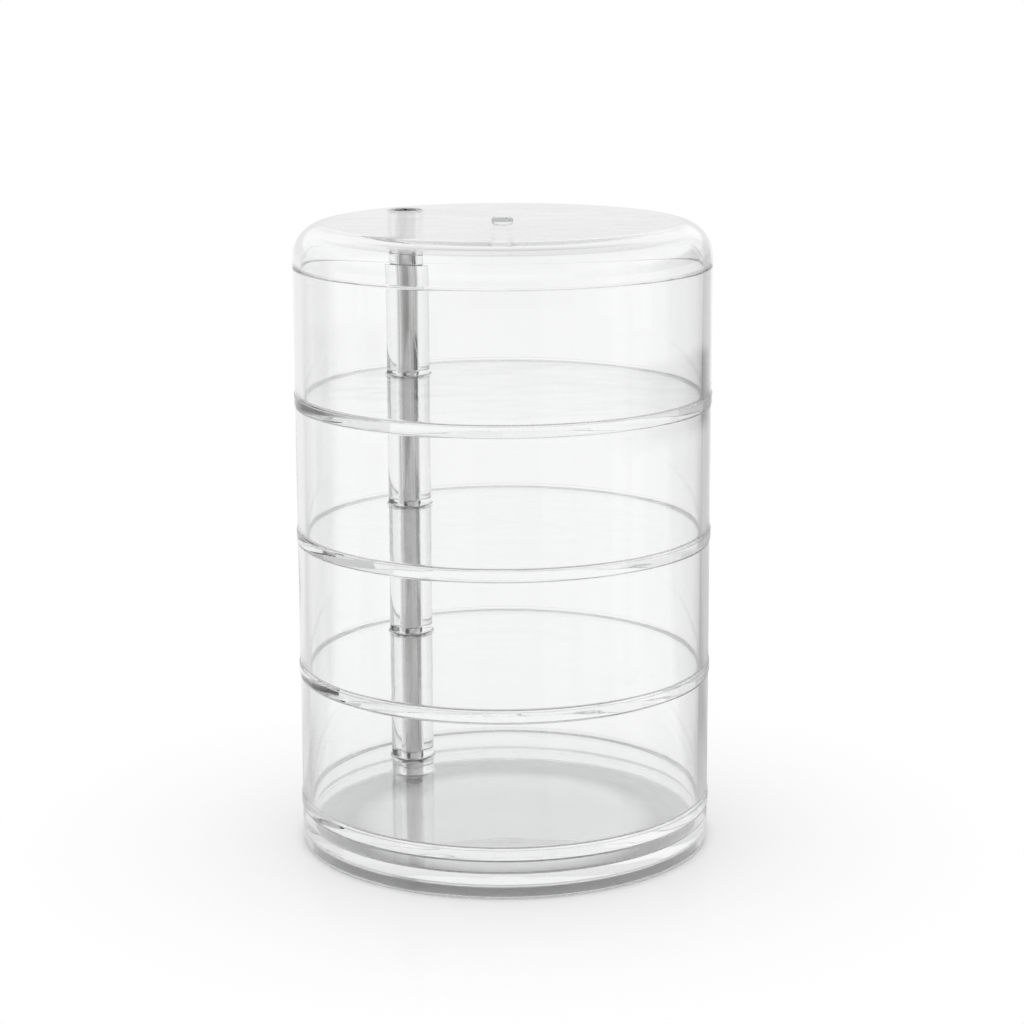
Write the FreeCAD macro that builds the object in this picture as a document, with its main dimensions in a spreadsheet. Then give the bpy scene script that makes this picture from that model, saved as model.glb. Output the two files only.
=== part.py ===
"""Clear round organizer: four cups and a lid that swivel on one steel rod above a round foot.

Millimetres, +Z up. The origin is the centre of the foot's underside, and +Y points to the rear.
"""
import FreeCAD, Part
import math
import os
import Sketcher

TRAY_COUNT = 4
TRAY_NAMES = [f"tray_{number}" for number in range(1, TRAY_COUNT + 1)]

# Driving dimensions, in millimetres and degrees.
DIMENSIONS = {
    # Walls that every clear moulding shares
    "outer_radius": 55.0,
    "bead_proud": 0.3,
    "bead_ledge": 0.1,
    "edge_round": 0.4,
    "inner_round": 0.8,
    "rim_gap": 0.2,
    # Foot
    "base_height": 10.5,
    "base_wall": 2.4,
    "base_plate_height": 3.3,
    "base_plate": 2.8,
    # Cups
    "tray_pitch": 36.4,
    "tray_wall": 2.4,
    "tray_floor": 2.4,
    "tray_bead_height": 2.6,
    # Lid
    "skirt_straight": 2.1,
    "shoulder_round": 8.8,
    "lid_wall": 2.2,
    "lid_top": 2.4,
    "button_radius": 2.9,
    "button_height": 1.2,
    "button_round": 1.1,
    # Pivot
    "pivot_angle": 131.5,
    "rod_radius": 2.0,
    "rod_end_round": 0.3,
    "rod_seat": 1.4,
    "hub_radius": 6.0,
    "hub_root_round": 0.7,
    "boss_wall": 0.4,
    "boss_shoulder_gap": 1.5,
    "boss_root_round": 0.5,
    "running_clearance": 0.08,
    "socket_clearance": 0.02,
    "axial_clearance": 0.05,
    # Washers between the hubs
    "slip_washer_radius": 4.5,
    "slip_washer": 0.5,
    "washer_clearance": 0.1,
    # Screws and the washers under their heads
    "screw_radius": 1.25,
    "screw_thread": 7.0,
    "tap_clearance": 0.05,
    "tap_runout": 1.0,
    "head_radius": 3.0,
    "head_height": 1.5,
    "head_round": 0.35,
    "recess_length": 3.2,
    "recess_width": 0.8,
    "recess_depth": 0.8,
    "counterbore_clearance": 1.3,
    "counterbore_depth": 2.0,
    "top_washer_clearance": 0.2,
    "top_washer": 0.4,
    "flat_washer_radius": 3.5,
    "flat_washer": 0.5,
    "spring_washer_radius": 2.5,
    "spring_washer": 0.6,
    "spring_washer_split": 0.5,
}

# Sizes and places that follow from the driving dimensions.
SIZES = {
    "bead_radius": "Dimensions.outer_radius + Dimensions.bead_proud",
    "bead_round": "Dimensions.bead_proud - Dimensions.bead_ledge",
    "base_inner_radius": "Dimensions.outer_radius - Dimensions.base_wall",
    "base_rim": "Dimensions.base_height - Dimensions.rim_gap",
    "base_plate_top": "Dimensions.base_plate_height + Dimensions.base_plate",
    "tray_inner_radius": "Dimensions.outer_radius - Dimensions.tray_wall",
    "tray_rim": "Dimensions.tray_pitch - Dimensions.rim_gap",
    "lid_height": "Dimensions.skirt_straight + Dimensions.shoulder_round",
    "lid_inner_radius": "Dimensions.outer_radius - Dimensions.lid_wall",
    "lid_inner_round": "Dimensions.shoulder_round - Dimensions.lid_wall",
    "lid_underside": "Sizes.lid_height - Dimensions.lid_top",
    "button_top": "Sizes.lid_height + Dimensions.button_height",
    "counterbore_radius": "Dimensions.head_radius + Dimensions.counterbore_clearance",
    "counterbore_floor": "Sizes.lid_height - Dimensions.counterbore_depth",
    "boss_radius": "Sizes.counterbore_radius + Dimensions.boss_wall",
    "pivot_distance": "Dimensions.outer_radius - Dimensions.shoulder_round"
                      " - Dimensions.boss_shoulder_gap - Sizes.boss_radius",
    "pivot_x": "Sizes.pivot_distance * cos(Dimensions.pivot_angle * 1 deg)",
    "pivot_y": "Sizes.pivot_distance * sin(Dimensions.pivot_angle * 1 deg)",
    "washer_space": "Dimensions.slip_washer + Dimensions.axial_clearance",
    "base_hub_top": "Dimensions.base_height - Sizes.washer_space",
    "base_hub_height": "Sizes.base_hub_top - Sizes.base_plate_top",
    "tray_hub_top": "Dimensions.tray_pitch - Sizes.washer_space",
    "tray_hub_height": "Sizes.tray_hub_top - Dimensions.tray_floor",
    "lid_place": f"Dimensions.base_height + {TRAY_COUNT} * Dimensions.tray_pitch",
    "running_bore": "Dimensions.rod_radius + Dimensions.running_clearance",
    "socket_bore": "Dimensions.rod_radius + Dimensions.socket_clearance",
    "socket_depth": "Sizes.base_hub_top - Sizes.rod_bottom",
    "washer_bore": "Dimensions.rod_radius + Dimensions.washer_clearance",
    "screw_bore": "Dimensions.screw_radius + Dimensions.washer_clearance",
    "tap_radius": "Dimensions.screw_radius + Dimensions.tap_clearance",
    "tap_depth": "Dimensions.screw_thread + Dimensions.tap_runout",
    "rod_bottom": "Dimensions.base_plate_height + Dimensions.rod_seat",
    "rod_top": "Sizes.top_washer_place + Dimensions.top_washer + Dimensions.axial_clearance",
    "rod_length": "Sizes.rod_top - Sizes.rod_bottom",
    "upper_tap_bottom": "Sizes.rod_length - Sizes.tap_depth",
    "bottom_grip": "Dimensions.rod_seat + Dimensions.flat_washer + Dimensions.spring_washer",
    "bottom_shank": "Sizes.bottom_grip + Dimensions.screw_thread",
    "top_screw_end": "Dimensions.screw_thread + Dimensions.head_height",
    "bottom_screw_end": "Sizes.bottom_shank + Dimensions.head_height",
    "top_washer_radius": "Sizes.counterbore_radius - Dimensions.top_washer_clearance",
    "top_washer_place": "Sizes.lid_place + Sizes.counterbore_floor",
    "top_screw_place": "Sizes.rod_top - Dimensions.screw_thread",
    "flat_washer_place": "Dimensions.base_plate_height - Dimensions.flat_washer",
    "spring_washer_place": "Sizes.flat_washer_place - Dimensions.spring_washer",
    "bottom_screw_place": "Sizes.rod_bottom + Dimensions.screw_thread",
}


def make_sheet(doc):
    """The spreadsheet that holds each driving dimension under its own alias."""
    sheet = doc.addObject("Spreadsheet::Sheet", "Dimensions")
    for row, (name, value) in enumerate(DIMENSIONS.items(), start=1):
        sheet.set(f"A{row}", name)
        sheet.set(f"B{row}", str(value))
        sheet.setAlias(f"B{row}", name)
    doc.recompute()


def make_sizes(doc):
    """The set of further sizes, each bound to the expression that gives it."""
    sizes = doc.addObject("App::VarSet", "Sizes")
    for name in SIZES:
        sizes.addProperty("App::PropertyFloat", name, "Sizes")
    for name, expression in SIZES.items():
        sizes.setExpression(name, expression)
    doc.recompute()


def number(doc, reference):
    """The present value of a reference such as Dimensions.outer_radius."""
    holder, name = reference.split(".")
    return float(getattr(doc.getObject(holder), name))


def new_body(doc, name):
    body = doc.addObject("PartDesign::Body", name)
    body.Label = name
    return body


def place(body, x=None, y=None, height=None, turn=None):
    """Puts a body at bound coordinates, turned about the vertical by a bound angle."""
    body.Placement = FreeCAD.Placement(FreeCAD.Vector(), FreeCAD.Rotation(FreeCAD.Vector(0, 0, 1), 1))
    body.setExpression("Placement.Rotation.Angle", turn or "0")
    body.setExpression("Placement.Base.x", x or "0")
    body.setExpression("Placement.Base.y", y or "0")
    body.setExpression("Placement.Base.z", height or "0")


def place_on_pivot(body, height):
    place(body, x="Sizes.pivot_x", y="Sizes.pivot_y", height=height)


def new_sketch(body, name, plane):
    """A sketch on one of the body's own origin planes."""
    sketch = body.newObject("Sketcher::SketchObject", f"{body.Name}_{name}")
    support = next(item for item in body.Origin.OriginFeatures if item.Role == plane)
    sketch.AttachmentSupport = [(support, "")]
    sketch.MapMode = "FlatFace"
    return sketch


def bind(sketch, name, constraint, reference):
    """Adds a constraint and ties its value to a named size."""
    index = sketch.addConstraint(constraint)
    sketch.renameConstraint(index, name)
    sketch.setExpression(f"Constraints.{name}", reference)


def draw_outline(sketch, edges):
    """Draws a closed outline of level and upright edges.

    Each edge is (direction, place, rounding). An edge "x" stands upright at that radius, and an
    edge "z" lies level at that height; a place of None is the axis or the ground line. The
    rounding is the radius of the corner between the edge and the next one, or None.
    """
    doc = sketch.Document
    count = len(edges)
    values = [number(doc, edge[1]) if edge[1] else 0.0 for edge in edges]
    corners = []
    for index, (direction, _, _) in enumerate(edges):
        following = values[(index + 1) % count]
        pair = (values[index], following) if direction == "x" else (following, values[index])
        corners.append(FreeCAD.Vector(pair[0], pair[1], 0))
    travel = [(corners[index] - corners[index - 1]).normalize() for index in range(count)]
    rounds = [number(doc, edge[2]) if edge[2] else 0.0 for edge in edges]

    lines = []
    for index in range(count):
        start = corners[index - 1] + travel[index] * rounds[index - 1]
        end = corners[index] - travel[index] * rounds[index]
        lines.append(sketch.addGeometry(Part.LineSegment(start, end)))
    origin, level_axis, upright_axis = -1, -1, -2
    for index, (direction, reference, _) in enumerate(edges):
        line = lines[index]
        upright = direction == "x"
        sketch.addConstraint(Sketcher.Constraint("Vertical" if upright else "Horizontal", line))
        if reference:
            kind = "DistanceX" if upright else "DistanceY"
            constraint = Sketcher.Constraint(kind, origin, 1, line, 1, values[index])
            bind(sketch, f"edge_{index}", constraint, reference)
        else:
            axis = upright_axis if upright else level_axis
            sketch.addConstraint(Sketcher.Constraint("PointOnObject", line, 1, axis))
    for index, (_, _, rounding) in enumerate(edges):
        following = (index + 1) % count
        if not rounding:
            sketch.addConstraint(Sketcher.Constraint("Coincident", lines[index], 2, lines[following], 1))
            continue
        draw_rounding(sketch, index, corners[index], travel[index], travel[following],
                      rounds[index], lines[index], lines[following], rounding)


def draw_rounding(sketch, index, corner, before, after, radius, line, next_line, reference):
    """Joins two square edges with a tangent arc of a bound radius."""
    centre = corner - before * radius + after * radius
    leftward = before.x * after.y - before.y * after.x > 0
    first = corner - before * radius - centre
    last = corner + after * radius - centre
    if not leftward:
        first, last = last, first
    start_angle = math.atan2(first.y, first.x)
    end_angle = math.atan2(last.y, last.x)
    circle = Part.Circle(centre, FreeCAD.Vector(0, 0, 1), radius)
    arc = sketch.addGeometry(Part.ArcOfCircle(circle, start_angle, end_angle))
    near_end, far_end = (1, 2) if leftward else (2, 1)
    sketch.addConstraint(Sketcher.Constraint("Tangent", line, 2, arc, near_end))
    sketch.addConstraint(Sketcher.Constraint("Tangent", arc, far_end, next_line, 1))
    bind(sketch, f"round_{index}", Sketcher.Constraint("Radius", arc, radius), reference)


def revolve(body, name, edges):
    """Turns an outline drawn in the XZ plane about the body's own upright axis."""
    sketch = new_sketch(body, f"{name}_outline", "XZ_Plane")
    draw_outline(sketch, edges)
    feature = body.newObject("PartDesign::Revolution", f"{body.Name}_{name}")
    feature.Profile = sketch
    feature.ReferenceAxis = (sketch, ["V_Axis"])
    feature.Angle = 360
    return feature


def circle_sketch(body, name, radius, distance=None, height=None):
    """A circle on the ground plane or a level above it, centred a distance along +X."""
    doc = body.Document
    sketch = new_sketch(body, name, "XY_Plane")
    if height:
        sketch.setExpression("AttachmentOffset.Base.z", height)
    offset = number(doc, distance) if distance else 0.0
    circle = Part.Circle(FreeCAD.Vector(offset, 0, 0), FreeCAD.Vector(0, 0, 1), number(doc, radius))
    index = sketch.addGeometry(circle)
    if distance:
        sketch.addConstraint(Sketcher.Constraint("PointOnObject", index, 3, -1))
        bind(sketch, "distance", Sketcher.Constraint("DistanceX", -1, 1, index, 3, offset), distance)
    else:
        sketch.addConstraint(Sketcher.Constraint("Coincident", index, 3, -1, 1))
    bind(sketch, "radius", Sketcher.Constraint("Radius", index, number(doc, radius)), radius)
    return sketch


def pad_circle(body, name, radius, length, distance=None, height=None):
    feature = body.newObject("PartDesign::Pad", f"{body.Name}_{name}")
    feature.Profile = circle_sketch(body, f"{name}_circle", radius, distance, height)
    feature.setExpression("Length", length)
    return feature


def bore_through(body, name, radius, distance=None):
    feature = body.newObject("PartDesign::Pocket", f"{body.Name}_{name}")
    feature.Profile = circle_sketch(body, f"{name}_circle", radius, distance)
    feature.Type = "ThroughAll"
    feature.SideType = "Symmetric"
    return feature


def bore_down(body, name, radius, height, depth, distance=None):
    """A flat-bottomed round hole, cut downwards from a level."""
    feature = body.newObject("PartDesign::Pocket", f"{body.Name}_{name}")
    feature.Profile = circle_sketch(body, f"{name}_circle", radius, distance, height)
    feature.setExpression("Length", depth)
    return feature


def round_root(body, base, radius, height, rounding):
    """Rounds the corner where a hub of this radius meets the surface at this height."""
    doc = body.Document
    doc.recompute()
    near = 1e-4
    centre = FreeCAD.Vector(number(doc, "Sizes.pivot_distance"), 0, number(doc, height))
    edges = []
    for index, edge in enumerate(base.Shape.Edges, start=1):
        curve = edge.Curve
        if isinstance(curve, Part.Circle) and abs(curve.Radius - number(doc, radius)) < near:
            if (curve.Center - centre).Length < near:
                edges.append(f"Edge{index}")
    feature = body.newObject("PartDesign::Fillet", f"{body.Name}_root_round")
    feature.Base = (base, edges)
    feature.setExpression("Radius", rounding)
    return feature


def make_base(doc):
    """The foot: a ring with a plate across it, and a hub that holds the rod."""
    body = new_body(doc, "base")
    revolve(body, "ring", [
        ("z", "Dimensions.base_plate_height", "Dimensions.inner_round"),
        ("x", "Sizes.base_inner_radius", "Dimensions.edge_round"),
        ("z", None, "Dimensions.edge_round"),
        ("x", "Dimensions.outer_radius", "Dimensions.edge_round"),
        ("z", "Sizes.base_rim", "Dimensions.edge_round"),
        ("x", "Sizes.base_inner_radius", "Dimensions.inner_round"),
        ("z", "Sizes.base_plate_top", None),
        ("x", None, None),
    ])
    hub = pad_circle(body, "hub", "Dimensions.hub_radius", "Sizes.base_hub_height",
                     "Sizes.pivot_distance", "Sizes.base_plate_top")
    round_root(body, hub, "Dimensions.hub_radius", "Sizes.base_plate_top", "Dimensions.hub_root_round")
    bore_down(body, "rod_socket", "Sizes.socket_bore", "Sizes.base_hub_top", "Sizes.socket_depth",
              "Sizes.pivot_distance")
    bore_through(body, "screw_hole", "Sizes.screw_bore", "Sizes.pivot_distance")
    place(body, turn="Dimensions.pivot_angle")
    return body


def make_tray(doc, name, level):
    """One cup: a thin wall, a floor with a proud bead, and a hub tube round the rod."""
    body = new_body(doc, name)
    revolve(body, "cup", [
        ("z", None, "Sizes.bead_round"),
        ("x", "Sizes.bead_radius", "Sizes.bead_round"),
        ("z", "Dimensions.tray_bead_height", None),
        ("x", "Dimensions.outer_radius", "Dimensions.edge_round"),
        ("z", "Sizes.tray_rim", "Dimensions.edge_round"),
        ("x", "Sizes.tray_inner_radius", "Dimensions.inner_round"),
        ("z", "Dimensions.tray_floor", None),
        ("x", None, None),
    ])
    hub = pad_circle(body, "hub", "Dimensions.hub_radius", "Sizes.tray_hub_height",
                     "Sizes.pivot_distance", "Dimensions.tray_floor")
    round_root(body, hub, "Dimensions.hub_radius", "Dimensions.tray_floor", "Dimensions.hub_root_round")
    bore_through(body, "rod_bore", "Sizes.running_bore", "Sizes.pivot_distance")
    place(body, height=f"Dimensions.base_height + {level} * Dimensions.tray_pitch",
          turn="Dimensions.pivot_angle")
    return body


def make_lid(doc):
    """The cap: a flat top with a button on it, a round shoulder, a short skirt, and a boss round the rod."""
    body = new_body(doc, "lid")
    revolve(body, "cap", [
        ("z", "Sizes.button_top", "Dimensions.button_round"),
        ("x", "Dimensions.button_radius", None),
        ("z", "Sizes.lid_height", "Dimensions.shoulder_round"),
        ("x", "Dimensions.outer_radius", "Dimensions.edge_round"),
        ("z", None, "Dimensions.edge_round"),
        ("x", "Sizes.lid_inner_radius", "Sizes.lid_inner_round"),
        ("z", "Sizes.lid_underside", None),
        ("x", None, None),
    ])
    boss = pad_circle(body, "boss", "Sizes.boss_radius", "Sizes.lid_underside", "Sizes.pivot_distance")
    round_root(body, boss, "Sizes.boss_radius", "Sizes.lid_underside", "Dimensions.boss_root_round")
    bore_down(body, "counterbore", "Sizes.counterbore_radius", "Sizes.lid_height",
              "Dimensions.counterbore_depth", "Sizes.pivot_distance")
    bore_through(body, "rod_bore", "Sizes.running_bore", "Sizes.pivot_distance")
    place(body, height="Sizes.lid_place", turn="Dimensions.pivot_angle")
    return body


def make_rod(doc):
    """The pivot: a plain round rod with a tapped hole in each end."""
    body = new_body(doc, "pivot_rod")
    revolve(body, "shaft", [
        ("z", None, "Dimensions.rod_end_round"),
        ("x", "Dimensions.rod_radius", "Dimensions.rod_end_round"),
        ("z", "Sizes.rod_length", None),
        ("x", "Sizes.tap_radius", None),
        ("z", "Sizes.upper_tap_bottom", None),
        ("x", None, None),
        ("z", "Sizes.tap_depth", None),
        ("x", "Sizes.tap_radius", None),
    ])
    place_on_pivot(body, "Sizes.rod_bottom")
    return body


def make_screw(doc, name, shank, end):
    """A screw that stands on its tip: the shank, then a low round head with a cross recess."""
    body = new_body(doc, name)
    revolve(body, "turned", [
        ("z", None, None),
        ("x", "Dimensions.screw_radius", None),
        ("z", shank, None),
        ("x", "Dimensions.head_radius", "Dimensions.head_round"),
        ("z", end, None),
        ("x", None, None),
    ])
    cut_slot(body, "first_slot", "Dimensions.recess_length", "Dimensions.recess_width", end)
    cut_slot(body, "second_slot", "Dimensions.recess_width", "Dimensions.recess_length", end)
    return body


def cut_slot(body, name, length, width, level):
    """A rectangular slot about the axis, cut down from a level by the recess's depth."""
    doc = body.Document
    sketch = new_sketch(body, name, "XY_Plane")
    sketch.setExpression("AttachmentOffset.Base.z", level)
    half_length = number(doc, length) / 2
    half_width = number(doc, width) / 2
    corners = [FreeCAD.Vector(-half_length, -half_width, 0), FreeCAD.Vector(half_length, -half_width, 0),
               FreeCAD.Vector(half_length, half_width, 0), FreeCAD.Vector(-half_length, half_width, 0)]
    sides = [sketch.addGeometry(Part.LineSegment(corners[index], corners[(index + 1) % 4]))
             for index in range(4)]
    for index, side in enumerate(sides):
        sketch.addConstraint(Sketcher.Constraint("Coincident", side, 2, sides[(index + 1) % 4], 1))
        direction = "Vertical" if index % 2 else "Horizontal"
        sketch.addConstraint(Sketcher.Constraint(direction, side))
    sketch.addConstraint(Sketcher.Constraint("Symmetric", sides[0], 1, sides[2], 1, -1, 1))
    bind(sketch, "length", Sketcher.Constraint("DistanceX", sides[0], 1, sides[0], 2, 2 * half_length), length)
    bind(sketch, "width", Sketcher.Constraint("DistanceY", sides[1], 1, sides[1], 2, 2 * half_width), width)
    feature = body.newObject("PartDesign::Pocket", f"{body.Name}_{name}_cut")
    feature.Profile = sketch
    feature.setExpression("Length", "Dimensions.recess_depth")


def make_top_screw(doc):
    body = make_screw(doc, "top_screw", "Dimensions.screw_thread", "Sizes.top_screw_end")
    place_on_pivot(body, "Sizes.top_screw_place")
    return body


def make_bottom_screw(doc):
    """The lower screw points upwards, so it is turned over."""
    body = make_screw(doc, "bottom_screw", "Sizes.bottom_shank", "Sizes.bottom_screw_end")
    place_on_pivot(body, "Sizes.bottom_screw_place")
    upside_down = FreeCAD.Rotation(FreeCAD.Vector(1, 0, 0), 180)
    body.setExpression("Placement.Rotation.Angle", None)
    body.Placement = FreeCAD.Placement(body.Placement.Base, upside_down)
    return body


def make_washer(doc, name, radius, bore, thickness, height):
    """A flat ring on the pivot."""
    body = new_body(doc, name)
    revolve(body, "ring", [
        ("z", None, None),
        ("x", radius, None),
        ("z", thickness, None),
        ("x", bore, None),
    ])
    place_on_pivot(body, height)
    return body


def make_spring_washer(doc):
    """A split ring, pressed flat by the screw."""
    body = make_washer(doc, "bottom_spring_washer", "Dimensions.spring_washer_radius", "Sizes.screw_bore",
                       "Dimensions.spring_washer", "Sizes.spring_washer_place")
    sketch = new_sketch(body, "split", "YZ_Plane")
    draw_outline(sketch, [
        ("x", "Dimensions.spring_washer_split", None),
        ("z", "Dimensions.spring_washer", None),
        ("x", None, None),
        ("z", None, None),
    ])
    feature = body.newObject("PartDesign::Pocket", "bottom_spring_washer_split_cut")
    feature.Profile = sketch
    feature.Type = "ThroughAll"
    feature.Reversed = True
    return body


def make_slip_washers(doc):
    """One washer on the foot's hub and one on each cup's hub."""
    names = [f"slip_washer_{count}" for count in range(1, TRAY_COUNT + 2)]
    washers = []
    for level, name in enumerate(names):
        height = f"Sizes.base_hub_top + {level} * Dimensions.tray_pitch"
        washers.append(make_washer(doc, name, "Dimensions.slip_washer_radius", "Sizes.washer_bore",
                                   "Dimensions.slip_washer", height))
    return washers


def check(doc, bodies):
    """Stops the build if anything failed or a piece isn't one sound solid."""
    for item in doc.Objects:
        if "Invalid" in item.State or "Error" in item.State:
            raise ValueError(f"{item.Name} failed: {item.State}")
    for body in bodies:
        shape = body.Shape
        if shape.isNull() or not shape.isValid() or len(shape.Solids) != 1:
            raise ValueError(f"{body.Label} is not one sound solid")


def main():
    doc = FreeCAD.newDocument("organizer")
    make_sheet(doc)
    make_sizes(doc)
    bodies = [make_base(doc)]
    bodies += [make_tray(doc, name, level) for level, name in enumerate(TRAY_NAMES)]
    bodies.append(make_lid(doc))
    bodies.append(make_rod(doc))
    bodies.append(make_top_screw(doc))
    bodies.append(make_washer(doc, "top_washer", "Sizes.top_washer_radius", "Sizes.washer_bore",
                              "Dimensions.top_washer", "Sizes.top_washer_place"))
    bodies.append(make_bottom_screw(doc))
    bodies.append(make_washer(doc, "bottom_flat_washer", "Dimensions.flat_washer_radius", "Sizes.screw_bore",
                              "Dimensions.flat_washer", "Sizes.flat_washer_place"))
    bodies.append(make_spring_washer(doc))
    bodies += make_slip_washers(doc)
    doc.recompute()
    check(doc, bodies)
    os.makedirs("parts", exist_ok=True)
    for body in bodies:
        body.Shape.exportStep(os.path.join("parts", f"{body.Label}.step"))
        box = body.Shape.BoundBox
        print(f"{body.Label}: volume {body.Shape.Volume:.1f}, z {box.ZMin:.2f} to {box.ZMax:.2f}")


main()
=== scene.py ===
"""Looks of the clear round organizer: mouldings, steel fittings, table, studio light and camera.

Metres, +Z up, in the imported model's own frame: the origin is under the foot's centre, +Y is the rear.
"""
import math
import bmesh
import bpy
from mathutils import Matrix, Vector


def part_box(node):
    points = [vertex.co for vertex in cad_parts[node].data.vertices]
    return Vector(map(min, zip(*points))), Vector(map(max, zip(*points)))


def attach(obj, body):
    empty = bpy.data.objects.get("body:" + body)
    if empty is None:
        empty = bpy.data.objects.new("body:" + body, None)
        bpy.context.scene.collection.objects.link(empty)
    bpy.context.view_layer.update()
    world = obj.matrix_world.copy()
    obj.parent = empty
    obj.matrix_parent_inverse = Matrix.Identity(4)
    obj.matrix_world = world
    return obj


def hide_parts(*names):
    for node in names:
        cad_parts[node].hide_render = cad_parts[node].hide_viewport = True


MM = 0.001
SEGMENTS = 256
ARC_STEPS = 8
SHARP_ANGLE = math.radians(40)
TRAYS = 4

# Mouldings
OUTER_RADIUS = 55.0 * MM
BEAD_RADIUS = 55.25 * MM
CUP_INNER_RADIUS = 52.6 * MM
LID_INNER_RADIUS = 52.8 * MM
BEAD_HEIGHT = 2.6 * MM
FLOOR = 2.4 * MM
BEAD_ROUND = 0.2 * MM
EDGE_ROUND = 0.4 * MM
INNER_ROUND = 0.8 * MM
HUB_RADIUS = 6.0 * MM
HUB_ROOT = 0.7 * MM
HUB_EDGE = 0.2 * MM
RUNNING_BORE = 2.08 * MM

# Foot
PLATE_BOTTOM = 3.3 * MM
PLATE_TOP = 6.1 * MM
SOCKET_RADIUS = 2.02 * MM
SCREW_CLEAR = 1.35 * MM

# Lid
SHOULDER = 8.8 * MM
SHOULDER_INSIDE = 6.6 * MM
LID_TOP = 2.4 * MM
BOSS_RADIUS = 4.7 * MM
BOSS_ROOT = 0.5 * MM
COUNTERBORE_RADIUS = 4.3 * MM
COUNTERBORE_DEPTH = 2.0 * MM
BUTTON_RADIUS = 2.9 * MM
BUTTON_HEIGHT = 1.2 * MM
BUTTON_ROUND = 1.1 * MM

# Rod, screws and washers
ROD_END_ROUND = 0.3 * MM
TAP_RADIUS = 1.3 * MM
TAP_DEPTH = 8.0 * MM
DRILL_POINT = 0.6 * MM
THREAD_PITCH = 0.45 * MM
THREAD_RADIUS = 1.25 * MM
THREAD_DEPTH = 0.25 * MM
THREAD_STEPS = 8
SHANK_SIDES = 48
HEAD_SIDES = 96
HEAD_HEIGHT = 1.5 * MM
HEAD_EDGE = 0.35 * MM
CROSS_LENGTH = 3.2 * MM
CROSS_WIDTH = 0.8 * MM
CROSS_DEPTH = 0.8 * MM
CROSS_TAPER = 0.6
SPLIT_WIDTH = 0.5 * MM
WASHER_EDGE = 0.08 * MM
ROD_CLEAR = 2.1 * MM

PLASTIC_IOR = 1.5
WHITE = 1.0
BLACK = 0.0

# What mirrors see of the studio: grey levels, each from its azimuth in degrees to the next one.
# The rear is at 0 degrees and +X at 90.
SKY_LOW = [(-180, 0.9), (-140, 0.6), (-120, 0.45), (-100, 0.5), (-80, 0.6), (-60, 0.9), (-40, 1.0),
           (20, 0.85), (40, 0.0), (80, 0.2), (100, 0.6), (120, 0.5), (140, 0.9)]
SKY_HIGH = [(-180, 0.6), (-140, 0.7), (-100, 1.0), (-20, 0.95), (20, 0.9), (100, 0.8), (140, 0.6)]
# Painted reflections: grey levels that the table shows only in reflections, each from its azimuth in
# degrees to the next one.
PAINTED_TABLE_REFLECTION_SIDES = [(-180, 0.4), (-140, 0.45), (-120, 0.7), (-100, 0.8), (-80, 0.5), (-60, 0.7), (-40, 0.86),
               (-20, 0.95), (0, 0.9), (20, 0.6), (40, 0.45), (60, 0.4), (80, 0.8), (100, 0.9), (120, 0.7),
               (140, 0.6), (160, 0.4)]
# A painted dark patch on the table at the right, which only reflections show: painted shade, faded over
# the azimuth and over the distance in metres
PAINTED_DARK_PATCH_SIDES = [(-180, 0.0), (20, 0.0), (58, 1.0), (90, 1.0), (130, 0.0)]
PAINTED_DARK_PATCH_STOPS = [(0.0, 0.0), (0.62, 0.0), (0.66, 1.0), (0.86, 1.0), (0.9, 0.0), (1.0, 0.0)]
# The sky's brightness, and the change from its low to its high levels, over the sine of the elevation
RISE_STOPS = [(0.0, 0.82), (0.13, 0.82), (0.18, 1.0), (0.5, 1.0), (0.85, 0.6), (1.0, 0.6)]
HIGH_STOPS = [(0.0, 0.0), (0.27, 0.0), (0.33, 1.0), (1.0, 1.0)]
# How much of the table glows instead of being lit, over the distance from the centre in glow radii
GLOW_RADIUS = 0.14
# Painted light that lifts the table's real shadow: to 0.55 under the plate, not at all in a ring under
# the foot's wall, which leaves a dark ring of real shadow there, and up to full glow farther out.
PAINTED_GLOW_AND_SHADOW_STOPS = [(0.0, 0.55), (0.25, 0.55), (0.3, 0.0), (0.385, 0.0), (0.41, 0.45), (1.0, 1.0)]
LIGHT_LEVEL = 0.97
TABLE_RADIUS = 12
LIGHT_AIM = Vector((0, 0, 0.08))
BOUNCES = 96

# The photograph's viewpoint: 0.72 m in front, a little above the lid, with a long lens
CAMERA_PLACE = (0.00222, -0.7165, 0.2446)
CAMERA_PITCH = math.radians(12.244)
CAMERA_ROLL = math.radians(-0.227)
LENS = 96.4
SENSOR = 36

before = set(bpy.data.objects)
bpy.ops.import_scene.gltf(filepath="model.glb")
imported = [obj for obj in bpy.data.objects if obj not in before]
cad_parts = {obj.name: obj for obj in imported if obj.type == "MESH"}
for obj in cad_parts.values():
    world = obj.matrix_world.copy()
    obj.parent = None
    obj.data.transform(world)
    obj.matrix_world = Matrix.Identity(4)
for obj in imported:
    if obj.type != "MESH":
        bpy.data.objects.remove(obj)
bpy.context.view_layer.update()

rod_low, rod_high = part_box("pivot_rod")
PIVOT = (rod_low + rod_high) / 2
CENTRE = Vector((0, 0, 0))
CUP, ROD = "cup", "rod"
FAR = 20 * MM


def unit_step(corner, neighbour):
    """The direction, as a step in radius and height, from a corner along an edge to the next one."""
    if corner[0] != neighbour[0]:
        return (-1.0, 0.0) if corner[0] == CUP else (1.0, 0.0)
    across = neighbour[1] - corner[1]
    up = neighbour[2] - corner[2]
    length = math.hypot(across, up)
    return across / length, up / length


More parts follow.
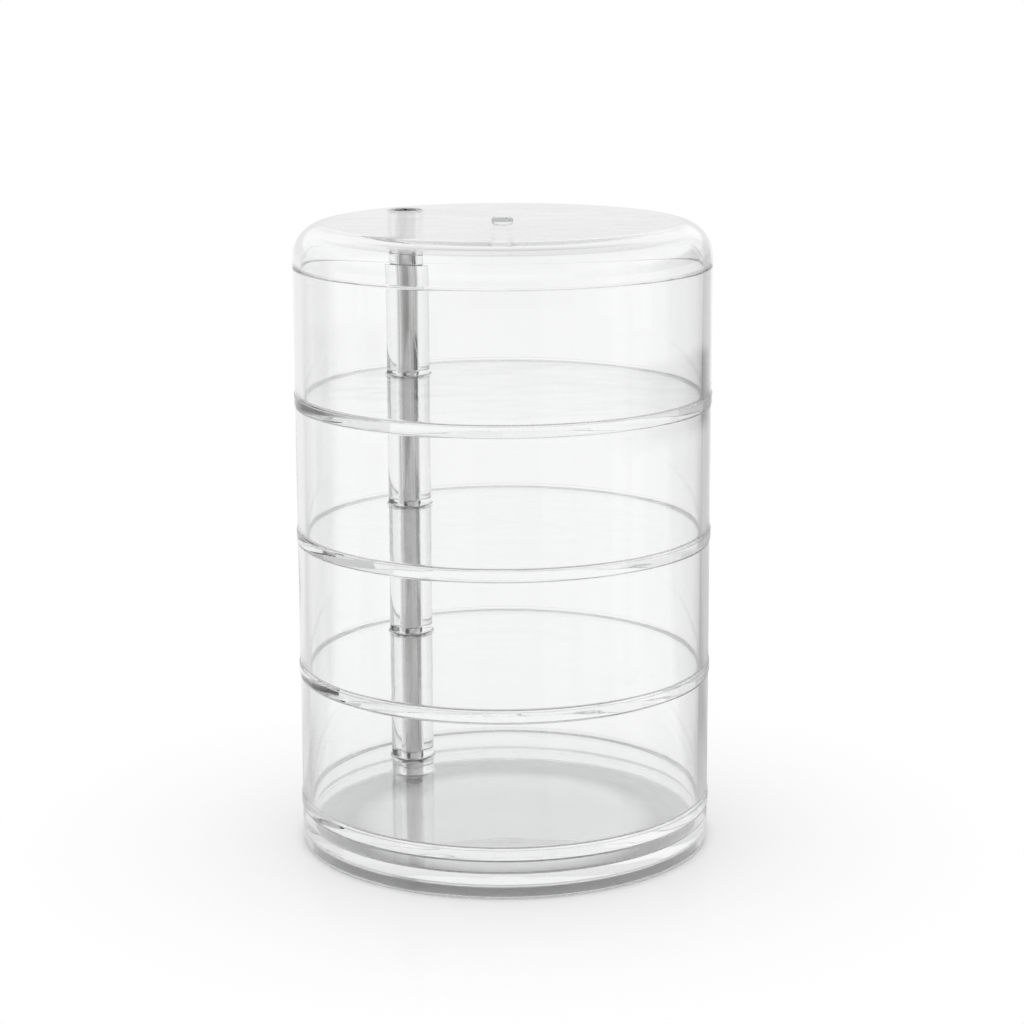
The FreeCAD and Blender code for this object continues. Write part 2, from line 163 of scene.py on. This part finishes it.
def rounded(corners):
    """Points (axis, radius, height) of a closed outline whose corners carry a rounding each.

    A step from one axis to the other is a level face between two circles that don't share a centre.
    """
    points = []
    for index, (axis, radius, height, rounding) in enumerate(corners):
        if not rounding:
            points.append((axis, radius, height))
            continue
        back = unit_step(corners[index], corners[index - 1])
        ahead = unit_step(corners[index], corners[(index + 1) % len(corners)])
        for step in range(ARC_STEPS + 1):
            angle = math.pi / 2 * step / ARC_STEPS
            along_back = rounding * (1 - math.sin(angle))
            along_ahead = rounding * (1 - math.cos(angle))
            points.append((axis,
                           radius + back[0] * along_back + ahead[0] * along_ahead,
                           height + back[1] * along_back + ahead[1] * along_ahead))
    return points


def on_circle(centre, radius, turn, height):
    """A point on a level circle, at a turn from +X."""
    return centre.x + radius * math.cos(turn), centre.y + radius * math.sin(turn), height


def circle(mesh, radius, height, sides, centre=CENTRE):
    """A level circle of vertices."""
    turns = [2 * math.pi * step / sides for step in range(sides)]
    return [mesh.verts.new(on_circle(centre, radius, turn, height)) for turn in turns]


def ring(mesh, point, sides=SEGMENTS):
    """A level circle of vertices about the cup's centre line or the rod's, or its centre alone."""
    axis, radius, height = point
    centre = CENTRE if axis == CUP else PIVOT
    if radius <= 0:
        return [mesh.verts.new((centre.x, centre.y, height))]
    return circle(mesh, radius, height, sides, centre)


def band(mesh, first, second):
    """Quads, or triangles at a pole, between two circles."""
    sides = max(len(first), len(second))
    for step in range(sides):
        after = (step + 1) % sides
        corners = [first[step % len(first)], first[after % len(first)],
                   second[after % len(second)], second[step % len(second)]]
        face = mesh.faces.new(list(dict.fromkeys(corners)))
        face.smooth = True


def skin(mesh, points, sides=SEGMENTS, closed=False):
    """The bands between circles that follow one another. Returns the circles."""
    rings = [ring(mesh, point, sides) for point in points]
    following = rings[1:] + rings[:1] if closed else rings[1:]
    for first, second in zip(rings, following):
        band(mesh, first, second)
    return rings


def fill_level(mesh, loops):
    """Fills the level region between an outer loop and the loops inside it."""
    edges = [mesh.edges.get((first, second)) for loop in loops
             for first, second in zip(loop, loop[1:] + loop[:1])]
    made = bmesh.ops.triangle_fill(mesh, edges=edges, use_beauty=True)
    for face in made["geom"]:
        if isinstance(face, bmesh.types.BMFace):
            face.smooth = True


def finish_piece(name, mesh):
    """Makes the object, with sharp edges kept and the shading of its flat faces kept flat."""
    bmesh.ops.recalc_face_normals(mesh, faces=mesh.faces)
    data = bpy.data.meshes.new(name)
    mesh.to_mesh(data)
    mesh.free()
    data.set_sharp_from_angle(angle=SHARP_ANGLE)
    piece = bpy.data.objects.new(name, data)
    bpy.context.scene.collection.objects.link(piece)
    even = piece.modifiers.new("even_normals", "WEIGHTED_NORMAL")
    even.keep_sharp = True
    even.weight = 100
    return piece


def turned(name, corners, sides=SEGMENTS, closed=True):
    """A piece turned from an outline, which is closed unless both its ends lie on the axis."""
    mesh = bmesh.new()
    skin(mesh, rounded(corners), sides, closed)
    return finish_piece(name, mesh)


def dress(piece, material, body, node):
    """Gives a piece its material, its body and the node that it stands for."""
    piece.data.materials.append(material)
    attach(piece, body)
    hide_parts(node)


def make_base(material):
    """The foot: a ring with a plate across it, and a hub whose socket holds the rod."""
    low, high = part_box("base")
    hub_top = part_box("slip_washer_1")[0].z
    seat = rod_low.z
    corners = [
        (ROD, SCREW_CLEAR, PLATE_BOTTOM, 0),
        (CUP, CUP_INNER_RADIUS, PLATE_BOTTOM, INNER_ROUND),
        (CUP, CUP_INNER_RADIUS, low.z, EDGE_ROUND),
        (CUP, OUTER_RADIUS, low.z, EDGE_ROUND),
        (CUP, OUTER_RADIUS, high.z, EDGE_ROUND),
        (CUP, CUP_INNER_RADIUS, high.z, EDGE_ROUND),
        (CUP, CUP_INNER_RADIUS, PLATE_TOP, INNER_ROUND),
        (ROD, HUB_RADIUS, PLATE_TOP, HUB_ROOT),
        (ROD, HUB_RADIUS, hub_top, HUB_EDGE),
        (ROD, SOCKET_RADIUS, hub_top, HUB_EDGE),
        (ROD, SOCKET_RADIUS, seat, 0),
        (ROD, SCREW_CLEAR, seat, 0),
    ]
    dress(turned("clear_base", corners), material, "base", "base")


def make_tray(number, material):
    """A cup: a thin wall, a flat floor with a proud bead round its edge, and a hub on the rod."""
    name = f"tray_{number}"
    low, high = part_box(name)
    bead_top = low.z + BEAD_HEIGHT
    floor = low.z + FLOOR
    hub_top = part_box(f"slip_washer_{number + 1}")[0].z
    corners = [
        (ROD, RUNNING_BORE, low.z, HUB_EDGE),
        (CUP, BEAD_RADIUS, low.z, BEAD_ROUND),
        (CUP, BEAD_RADIUS, bead_top, BEAD_ROUND),
        (CUP, OUTER_RADIUS, bead_top, 0),
        (CUP, OUTER_RADIUS, high.z, EDGE_ROUND),
        (CUP, CUP_INNER_RADIUS, high.z, EDGE_ROUND),
        (CUP, CUP_INNER_RADIUS, floor, INNER_ROUND),
        (ROD, HUB_RADIUS, floor, HUB_ROOT),
        (ROD, HUB_RADIUS, hub_top, HUB_EDGE),
        (ROD, RUNNING_BORE, hub_top, HUB_EDGE),
    ]
    dress(turned(f"clear_{name}", corners), material, name, name)


def make_lid(material):
    """The cap: a flat top with a button and a counterbore, a round shoulder and a short skirt."""
    low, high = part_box("lid")
    top = high.z - BUTTON_HEIGHT
    underside = top - LID_TOP
    counterbore_floor = top - COUNTERBORE_DEPTH
    shell = [
        (CUP, FAR, top, 0),
        (CUP, OUTER_RADIUS, top, SHOULDER),
        (CUP, OUTER_RADIUS, low.z, EDGE_ROUND),
        (CUP, LID_INNER_RADIUS, low.z, EDGE_ROUND),
        (CUP, LID_INNER_RADIUS, underside, SHOULDER_INSIDE),
        (CUP, FAR, underside, 0),
    ]
    boss = [
        (ROD, FAR, underside, 0),
        (ROD, BOSS_RADIUS, underside, BOSS_ROOT),
        (ROD, BOSS_RADIUS, low.z, HUB_EDGE),
        (ROD, RUNNING_BORE, low.z, HUB_EDGE),
        (ROD, RUNNING_BORE, counterbore_floor, 0),
        (ROD, COUNTERBORE_RADIUS, counterbore_floor, 0),
        (ROD, COUNTERBORE_RADIUS, top, HUB_EDGE),
        (ROD, FAR, top, 0),
    ]
    button = [
        (CUP, FAR, top, 0),
        (CUP, BUTTON_RADIUS, top, WASHER_EDGE),
        (CUP, BUTTON_RADIUS, high.z, BUTTON_ROUND),
        (CUP, 0, high.z, 0),
    ]
    mesh = bmesh.new()
    shell_rings = skin(mesh, rounded(shell)[1:-1])
    boss_rings = skin(mesh, rounded(boss)[1:-1])
    button_rings = skin(mesh, rounded(button)[1:])
    band(mesh, shell_rings[-1], boss_rings[0])
    fill_level(mesh, [shell_rings[0], boss_rings[-1], button_rings[0]])
    dress(finish_piece("clear_lid", mesh), material, "lid", "lid")


def make_rod(material):
    """The rod, with a tapped hole that ends in a drill point in each end."""
    radius = rod_high.x - PIVOT.x
    corners = [
        (ROD, 0, rod_low.z + TAP_DEPTH + DRILL_POINT, 0),
        (ROD, TAP_RADIUS, rod_low.z + TAP_DEPTH, 0),
        (ROD, TAP_RADIUS, rod_low.z, WASHER_EDGE),
        (ROD, radius, rod_low.z, ROD_END_ROUND),
        (ROD, radius, rod_high.z, ROD_END_ROUND),
        (ROD, TAP_RADIUS, rod_high.z, WASHER_EDGE),
        (ROD, TAP_RADIUS, rod_high.z - TAP_DEPTH, 0),
        (ROD, 0, rod_high.z - TAP_DEPTH - DRILL_POINT, 0),
    ]
    piece = turned("steel_pivot_rod", corners, HEAD_SIDES, closed=False)
    dress(piece, material, "base", "pivot_rod")


def thread_ring(mesh, height, crest_radius):
    """A circle whose radius swings between crest and root with the height and the turn, as on a helix."""
    corners = []
    for step in range(SHANK_SIDES):
        share = step / SHANK_SIDES
        phase = (height / THREAD_PITCH - share) % 1
        radius = crest_radius - THREAD_DEPTH * abs(2 * phase - 1)
        corners.append(mesh.verts.new(on_circle(CENTRE, radius, 2 * math.pi * share, height)))
    return corners


def cross(mesh, scale, height):
    """The twelve corners of a cross, about the screw's own axis."""
    long, short = CROSS_LENGTH / 2 * scale, CROSS_WIDTH / 2 * scale
    quarter = [(long, short), (short, short), (short, long)]
    corners = []
    for turn in range(4):
        quarter_turn = Matrix.Rotation(math.pi / 2 * turn, 2)
        corners += [quarter_turn @ Vector(corner) for corner in quarter]
    return [mesh.verts.new((corner.x, corner.y, height)) for corner in corners]


def make_screw(name, node, material):
    """A screw with a low round head, a tapered cross recess and a thread.

    It is built head up about its own axis. The bottom screw is then turned over.
    """
    low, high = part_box(node)
    head_radius = (high.x - low.x) / 2
    shank = high.z - low.z - HEAD_HEIGHT
    mesh = bmesh.new()
    count = round(shank / THREAD_PITCH * THREAD_STEPS)
    tip = THREAD_RADIUS - THREAD_DEPTH
    rings = [circle(mesh, tip - THREAD_DEPTH, 0, SHANK_SIDES)]
    for step in range(1, count):
        height = shank * step / count
        start = min(1, height / THREAD_PITCH)
        rings.append(thread_ring(mesh, height, tip + THREAD_DEPTH * start))
    rings.append(circle(mesh, tip, shank, SHANK_SIDES))
    for first, second in zip(rings, rings[1:]):
        band(mesh, first, second)
    mesh.faces.new(rings[0])
    head = [circle(mesh, head_radius - WASHER_EDGE, shank, HEAD_SIDES),
            circle(mesh, head_radius, shank + WASHER_EDGE, HEAD_SIDES)]
    for step in range(ARC_STEPS + 1):
        angle = math.pi / 2 * step / ARC_STEPS
        head.append(circle(mesh, head_radius - HEAD_EDGE * (1 - math.cos(angle)),
                           shank + HEAD_HEIGHT - HEAD_EDGE * (1 - math.sin(angle)), HEAD_SIDES))
    for first, second in zip(head, head[1:]):
        band(mesh, first, second)
    mouth = cross(mesh, 1, shank + HEAD_HEIGHT)
    bottom = cross(mesh, CROSS_TAPER, shank + HEAD_HEIGHT - CROSS_DEPTH)
    band(mesh, mouth, bottom)
    mesh.faces.new(bottom)
    fill_level(mesh, [head[-1], mouth])
    fill_level(mesh, [head[0], rings[-1]])
    if node == "top_screw":
        place = Matrix.Translation((PIVOT.x, PIVOT.y, low.z))
    else:
        place = Matrix.Translation((PIVOT.x, PIVOT.y, high.z)) @ Matrix.Rotation(math.pi, 4, "X")
    bmesh.ops.transform(mesh, matrix=place, verts=mesh.verts)
    dress(finish_piece(name, mesh), material, "base", node)


def washer_outline(low, high, radius, bore):
    """The section of a flat ring with slightly rounded edges."""
    return [
        (ROD, radius, low.z, WASHER_EDGE),
        (ROD, radius, high.z, WASHER_EDGE),
        (ROD, bore, high.z, WASHER_EDGE),
        (ROD, bore, low.z, WASHER_EDGE),
    ]


def make_washer(name, node, body, bore, material):
    low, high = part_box(node)
    corners = washer_outline(low, high, (high.x - low.x) / 2, bore)
    dress(turned(name, corners, HEAD_SIDES), material, body, node)


def make_spring_washer(bore, material):
    """A split ring of square section, flattened between the screw's head and the flat washer."""
    low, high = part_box("bottom_spring_washer")
    radius = (high.y - low.y) / 2
    points = rounded(washer_outline(low, high, radius, bore))
    half_gap = SPLIT_WIDTH / (radius + bore)
    mesh = bmesh.new()
    sections = []
    for step in range(HEAD_SIDES + 1):
        turn = half_gap + (2 * math.pi - 2 * half_gap) * step / HEAD_SIDES
        sections.append([mesh.verts.new(on_circle(PIVOT, across, turn, height))
                         for _, across, height in points])
    for first, second in zip(sections, sections[1:]):
        band(mesh, first, second)
    mesh.faces.new(sections[0])
    mesh.faces.new(sections[-1])
    piece = finish_piece("spring_washer", mesh)
    dress(piece, material, "base", "bottom_spring_washer")


def principled(name):
    """A new material with its Principled node and its tree."""
    material = bpy.data.materials.new(name)
    material.use_nodes = True
    tree = material.node_tree
    return material, tree, tree.nodes["Principled BSDF"]


def add_node(tree, kind, **settings):
    """A new node; a setting is one of its own properties, or else one of its inputs."""
    node = tree.nodes.new("ShaderNode" + kind)
    for name, value in settings.items():
        if hasattr(node, name):
            setattr(node, name, value)
        else:
            node.inputs[name.replace("_", " ")].default_value = value
    return node


def math_node(tree, operation, *values):
    """The output of a Math node; an input is a number or another node's output."""
    node = add_node(tree, "Math", operation=operation)
    for socket, value in zip(node.inputs, values):
        if isinstance(value, bpy.types.NodeSocket):
            tree.links.new(value, socket)
        else:
            socket.default_value = value
    return node.outputs[0]


def ramp_node(tree, value, stops):
    """A grey ramp through (place, level) stops."""
    node = add_node(tree, "ValToRGB")
    tree.links.new(value, node.inputs["Fac"])
    elements = node.color_ramp.elements
    while len(elements) < len(stops):
        elements.new(0.5)
    for element, (place, level) in zip(elements, stops):
        element.position = place
        element.color = (level, level, level, 1)
    return node.outputs["Color"]


def mixed(tree, factor, first, second):
    """A mix of two colours, each a socket, a colour or a grey level."""
    mix = add_node(tree, "Mix", data_type="RGBA")
    tree.links.new(factor, mix.inputs["Factor"])
    for socket, value in ((mix.inputs["A"], first), (mix.inputs["B"], second)):
        if isinstance(value, bpy.types.NodeSocket):
            tree.links.new(value, socket)
        elif isinstance(value, tuple):
            socket.default_value = (*value, 1)
        else:
            socket.default_value = (value, value, value, 1)
    return mix.outputs["Result"]


def ranged(tree, value, low, high, to_low, to_high):
    """A value brought from one range to another, and kept within it."""
    node = add_node(tree, "MapRange", From_Min=low, From_Max=high, To_Min=to_low, To_Max=to_high)
    tree.links.new(value, node.inputs["Value"])
    return node.outputs[0]


def stretched(tree, scale, turn=0.0):
    """Object coordinates, turned about Z and scaled along each axis."""
    place = add_node(tree, "TexCoord").outputs["Object"]
    mapping = add_node(tree, "Mapping", Scale=scale, Rotation=(0, 0, turn))
    tree.links.new(place, mapping.inputs["Vector"])
    return mapping.outputs[0]


def noise(tree, vector, scale, detail):
    """Cloudy noise from 0 to 1, with about as many waves per metre as the scale says."""
    node = add_node(tree, "TexNoise", Scale=scale, Detail=detail)
    tree.links.new(vector, node.inputs["Vector"])
    return node.outputs["Fac"]


def bumped(tree, shader, height, distance):
    """Relief on the shader, from a height of 0 to 1 that stands for a real distance."""
    bump = add_node(tree, "Bump", Distance=distance)
    tree.links.new(height, bump.inputs["Height"])
    tree.links.new(bump.outputs[0], shader.inputs["Normal"])


def clear_plastic():
    """Polished clear plastic: slight moulding waves, sparse hairlines, a scuffed standing edge."""
    hairline_roughness = 0.05
    scuff_roughness = 0.35
    scuffed_below, clean_above = 0.2 * MM, 0.7 * MM
    material, tree, shader = principled("clear_plastic")
    shader.inputs["Transmission Weight"].default_value = 1
    shader.inputs["IOR"].default_value = PLASTIC_IOR
    absorb = add_node(tree, "VolumeAbsorption", Density=0.6)
    absorb.inputs["Color"].default_value = (0.5, 0.52, 0.53, 1)
    tree.links.new(absorb.outputs[0], tree.nodes["Material Output"].inputs["Volume"])
    waves = noise(tree, stretched(tree, (1, 1, 0.4)), 60, 1)
    tint = mixed(tree, ranged(tree, waves, 0.3, 0.7, 0, 1), (0.990, 0.992, 0.993), (0.995, 0.996, 0.997))
    tree.links.new(tint, shader.inputs["Base Color"])
    upright = ranged(tree, noise(tree, stretched(tree, (1, 1, 0.03)), 1100, 0), 0.72, 0.76, 0, 1)
    slanted = ranged(tree, noise(tree, stretched(tree, (1, 0.04, 1), 0.6), 900, 0), 0.74, 0.78, 0, 1)
    hairlines = math_node(tree, "MAXIMUM", upright, slanted)
    height = add_node(tree, "SeparateXYZ")
    tree.links.new(add_node(tree, "TexCoord").outputs["Object"], height.inputs[0])
    standing = ranged(tree, height.outputs["Z"], scuffed_below, clean_above, 1, 0)
    grain = ranged(tree, noise(tree, stretched(tree, (1, 1, 1)), 1500, 3), 0.5, 0.6, 0, 1)
    scuffs = math_node(tree, "MULTIPLY", standing, grain)
    rough = math_node(tree, "MAXIMUM", math_node(tree, "MULTIPLY", hairlines, hairline_roughness),
                      math_node(tree, "MULTIPLY", scuffs, scuff_roughness))
    tree.links.new(rough, shader.inputs["Roughness"])
    bumped(tree, shader, waves, 0.05 * MM)
    return material


def clear_washer():
    """Thin milky plastic, a little uneven from punching."""
    material, tree, shader = principled("clear_washer")
    shader.inputs["Transmission Weight"].default_value = 0.85
    shader.inputs["IOR"].default_value = PLASTIC_IOR
    cloud = noise(tree, stretched(tree, (1, 1, 1)), 700, 2)
    tint = mixed(tree, ranged(tree, cloud, 0.35, 0.65, 0, 1), (0.88, 0.9, 0.91), (0.96, 0.97, 0.97))
    tree.links.new(tint, shader.inputs["Base Color"])
    tree.links.new(ranged(tree, cloud, 0.3, 0.7, 0.15, 0.3), shader.inputs["Roughness"])
    bumped(tree, shader, cloud, 0.005 * MM)
    return material


def polished_steel():
    """A drawn and polished rod: fine lines along it and slightly uneven gloss."""
    material, tree, shader = principled("polished_steel")
    shader.inputs["Metallic"].default_value = 1
    lines = noise(tree, stretched(tree, (1, 1, 0.01)), 5000, 2)
    cloud = noise(tree, stretched(tree, (1, 1, 0.3)), 180, 2)
    tint = mixed(tree, ranged(tree, cloud, 0.3, 0.7, 0, 1), (0.66, 0.65, 0.64), (0.78, 0.77, 0.77))
    tree.links.new(tint, shader.inputs["Base Color"])
    uneven = math_node(tree, "ADD", ranged(tree, lines, 0.3, 0.7, 0, 0.07),
                       ranged(tree, cloud, 0.3, 0.7, 0.06, 0.14))
    tree.links.new(uneven, shader.inputs["Roughness"])
    bumped(tree, shader, lines, 0.002 * MM)
    return material


def turning_marks(tree, pitch):
    """Fine rings about the pivot, as a lathe leaves them, from 0 to 1."""
    place = add_node(tree, "TexCoord").outputs["Object"]
    offset = add_node(tree, "VectorMath", operation="SUBTRACT")
    tree.links.new(place, offset.inputs[0])
    offset.inputs[1].default_value = (PIVOT.x, PIVOT.y, 0)
    flat = add_node(tree, "VectorMath", operation="MULTIPLY")
    tree.links.new(offset.outputs[0], flat.inputs[0])
    flat.inputs[1].default_value = (1, 1, 0)
    distance = add_node(tree, "VectorMath", operation="LENGTH")
    tree.links.new(flat.outputs[0], distance.inputs[0])
    angle = math_node(tree, "MULTIPLY", distance.outputs["Value"], 2 * math.pi / pitch)
    wave = math_node(tree, "SINE", angle)
    return math_node(tree, "MULTIPLY_ADD", wave, 0.5, 0.5)


def black_oxide():
    """Blackened steel: fine turning marks, and bare metal showing faintly where it is worn."""
    material, tree, shader = principled("screw_steel")
    shader.inputs["Metallic"].default_value = 1
    wear = noise(tree, stretched(tree, (1, 1, 1)), 1200, 3)
    tint = mixed(tree, ranged(tree, wear, 0.6, 0.75, 0, 1), (0.03, 0.03, 0.033), (0.12, 0.12, 0.125))
    tree.links.new(tint, shader.inputs["Base Color"])
    tree.links.new(ranged(tree, wear, 0.3, 0.7, 0.28, 0.42), shader.inputs["Roughness"])
    bumped(tree, shader, turning_marks(tree, 0.12 * MM), 0.004 * MM)
    return material


def plated_steel():
    """Zinc-plated steel: a pale bluish grey with soft blotches and turning marks."""
    material, tree, shader = principled("plated_steel")
    shader.inputs["Metallic"].default_value = 1
    blotches = noise(tree, stretched(tree, (1, 1, 1)), 900, 3)
    tint = mixed(tree, ranged(tree, blotches, 0.35, 0.65, 0, 1), (0.55, 0.56, 0.58), (0.7, 0.71, 0.72))
    tree.links.new(tint, shader.inputs["Base Color"])
    tree.links.new(ranged(tree, blotches, 0.3, 0.7, 0.22, 0.38), shader.inputs["Roughness"])
    bumped(tree, shader, turning_marks(tree, 0.15 * MM), 0.004 * MM)
    return material


def around(tree, vector, stops, between="CONSTANT"):
    """Greys over the azimuth of a vector, from -180 to 180 degrees, with 0 at the rear and 90 at +X."""
    parts = add_node(tree, "SeparateXYZ")
    tree.links.new(vector, parts.inputs[0])
    turn = math_node(tree, "ARCTAN2", parts.outputs["X"], parts.outputs["Y"])
    share = math_node(tree, "MULTIPLY_ADD", turn, 0.5 / math.pi, 0.5)
    levels = ramp_node(tree, share, [(0.5 + azimuth / 360, level) for azimuth, level in stops])
    levels.node.color_ramp.interpolation = between
    return levels


def multiplied(tree, first, second):
    """The product of two greys."""
    both = add_node(tree, "Mix", data_type="RGBA", blend_type="MULTIPLY")
    both.inputs["Factor"].default_value = 1
    tree.links.new(first, both.inputs["A"])
    tree.links.new(second, both.inputs["B"])
    return both.outputs["Result"]


def path_kinds(tree):
    """Two switches: seen in a reflection, and seen at all rather than lighting a dull surface."""
    path = add_node(tree, "LightPath")
    mirrored = math_node(tree, "MINIMUM", path.outputs["Glossy Depth"], 1.0)
    clear = math_node(tree, "MAXIMUM", path.outputs["Is Glossy Ray"], path.outputs["Is Transmission Ray"])
    direct = math_node(tree, "MAXIMUM", clear, path.outputs["Is Camera Ray"])
    dull = math_node(tree, "MINIMUM", path.outputs["Diffuse Depth"], 1.0)
    return mirrored, math_node(tree, "SUBTRACT", direct, dull)


def make_world():
    """An even tent of light on dull surfaces, white behind clear ones, and dark flags in reflections."""
    world = bpy.data.worlds.new("studio")
    bpy.context.scene.world = world
    world.use_nodes = True
    tree = world.node_tree
    direction = add_node(tree, "TexCoord").outputs["Generated"]
    parts = add_node(tree, "SeparateXYZ")
    tree.links.new(direction, parts.inputs[0])
    low = around(tree, direction, SKY_LOW)
    high = around(tree, direction, SKY_HIGH)
    sides = mixed(tree, ramp_node(tree, parts.outputs["Z"], HIGH_STOPS), low, high)
    flags = multiplied(tree, sides, ramp_node(tree, parts.outputs["Z"], RISE_STOPS))
    mirrored, bright = path_kinds(tree)
    seen = mixed(tree, mirrored, WHITE, flags)
    tree.links.new(mixed(tree, bright, LIGHT_LEVEL, seen), tree.nodes["Background"].inputs["Color"])


def make_floor():
    """A white table, slightly glossy, that turns into the white backdrop away from the object. Near the
    object its glow is painted light that lifts its real shadow, except in a ring under the foot's wall;
    in reflections it shows painted grey sectors and a painted dark patch.
    """
    bpy.ops.mesh.primitive_circle_add(vertices=128, radius=TABLE_RADIUS, fill_type="NGON",
                                      location=CENTRE)
    floor = bpy.context.object
    floor.name = "table"
    material, tree, shader = principled("table")
    shader.inputs["Base Color"].default_value = (1, 1, 1, 1)
    shader.inputs["Roughness"].default_value = 0.12
    shader.inputs["Specular IOR Level"].default_value = 0.25
    place = add_node(tree, "TexCoord").outputs["Object"]
    distance = add_node(tree, "VectorMath", operation="LENGTH")
    tree.links.new(place, distance.inputs[0])
    share = math_node(tree, "DIVIDE", distance.outputs["Value"], GLOW_RADIUS)
    # Painted light: the glow lifts the table's shadow near the object, except in a ring under the foot's
    # wall.
    painted_glow_and_shadow = ramp_node(tree, share, PAINTED_GLOW_AND_SHADOW_STOPS)
    mirrored, bright = path_kinds(tree)
    # Painted shade seen only in reflections: grey sectors of the table and a dark patch at the right.
    painted_patch_reach = ramp_node(tree, distance.outputs["Value"], PAINTED_DARK_PATCH_STOPS)
    painted_dark_patch = multiplied(tree, around(tree, place, PAINTED_DARK_PATCH_SIDES, "LINEAR"), painted_patch_reach)
    painted_reflection = mixed(tree, painted_dark_patch, around(tree, place, PAINTED_TABLE_REFLECTION_SIDES), BLACK)
    glow = add_node(tree, "Emission")
    tree.links.new(mixed(tree, mirrored, WHITE, painted_reflection), glow.inputs["Color"])
    mix = add_node(tree, "MixShader")
    tree.links.new(math_node(tree, "MULTIPLY", painted_glow_and_shadow, bright), mix.inputs["Fac"])
    tree.links.new(shader.outputs[0], mix.inputs[1])
    tree.links.new(glow.outputs[0], mix.inputs[2])
    tree.links.new(mix.outputs[0], tree.nodes["Material Output"].inputs["Surface"])
    floor.data.materials.append(material)


def make_light(name, place, size, power):
    """A rectangular lamp that shines on the middle of the object."""
    data = bpy.data.lights.new(name, "AREA")
    data.shape = "RECTANGLE"
    data.size, data.size_y = size
    data.energy = power
    lamp = bpy.data.objects.new(name, data)
    lamp.location = place
    aim = LIGHT_AIM - Vector(place)
    lamp.rotation_euler = aim.to_track_quat("-Z", "Y").to_euler()
    bpy.context.scene.collection.objects.link(lamp)


def make_camera():
    """A camera that looks along +Y, pitched down, and rolled about its line of sight."""
    data = bpy.data.cameras.new("camera")
    data.lens = LENS
    data.sensor_width = SENSOR
    data.clip_start = 0.01
    data.clip_end = 100
    camera = bpy.data.objects.new("camera", data)
    ahead = Vector((0, math.cos(CAMERA_PITCH), -math.sin(CAMERA_PITCH)))
    right = Vector((1, 0, 0))
    down = Vector((0, -math.sin(CAMERA_PITCH), -math.cos(CAMERA_PITCH)))
    turned_right = right * math.cos(CAMERA_ROLL) - down * math.sin(CAMERA_ROLL)
    turned_down = right * math.sin(CAMERA_ROLL) + down * math.cos(CAMERA_ROLL)
    basis = Matrix((turned_right, -turned_down, -ahead)).transposed()
    camera.matrix_world = Matrix.Translation(CAMERA_PLACE) @ basis.to_4x4()
    bpy.context.scene.collection.objects.link(camera)
    bpy.context.scene.camera = camera


def set_up_rendering():
    """Clear pieces stand behind one another, so light needs many bounces."""
    scene = bpy.context.scene
    scene.view_settings.view_transform = "Standard"
    scene.cycles.max_bounces = BOUNCES
    scene.cycles.transmission_bounces = BOUNCES
    scene.cycles.glossy_bounces = BOUNCES
    scene.cycles.use_denoising = True


def main():
    plastic = clear_plastic()
    milky = clear_washer()
    screws = black_oxide()
    plated = plated_steel()
    make_base(plastic)
    for number in range(1, TRAYS + 1):
        make_tray(number, plastic)
    make_lid(plastic)
    make_rod(polished_steel())
    make_screw("top_cross_screw", "top_screw", screws)
    make_screw("bottom_cross_screw", "bottom_screw", screws)
    make_washer("lid_washer", "top_washer", "lid", ROD_CLEAR, milky)
    for number in range(1, TRAYS + 2):
        body = "base" if number == 1 else f"tray_{number - 1}"
        node = f"slip_washer_{number}"
        make_washer(f"hub_washer_{number}", node, body, ROD_CLEAR, milky)
    make_washer("flat_washer", "bottom_flat_washer", "base", SCREW_CLEAR, plated)
    make_spring_washer(SCREW_CLEAR, plated)
    make_world()
    make_floor()
    make_light("key", place=(-0.5, -0.3, 1.0), size=(0.8, 0.8), power=0.3)
    make_camera()
    set_up_rendering()


main()
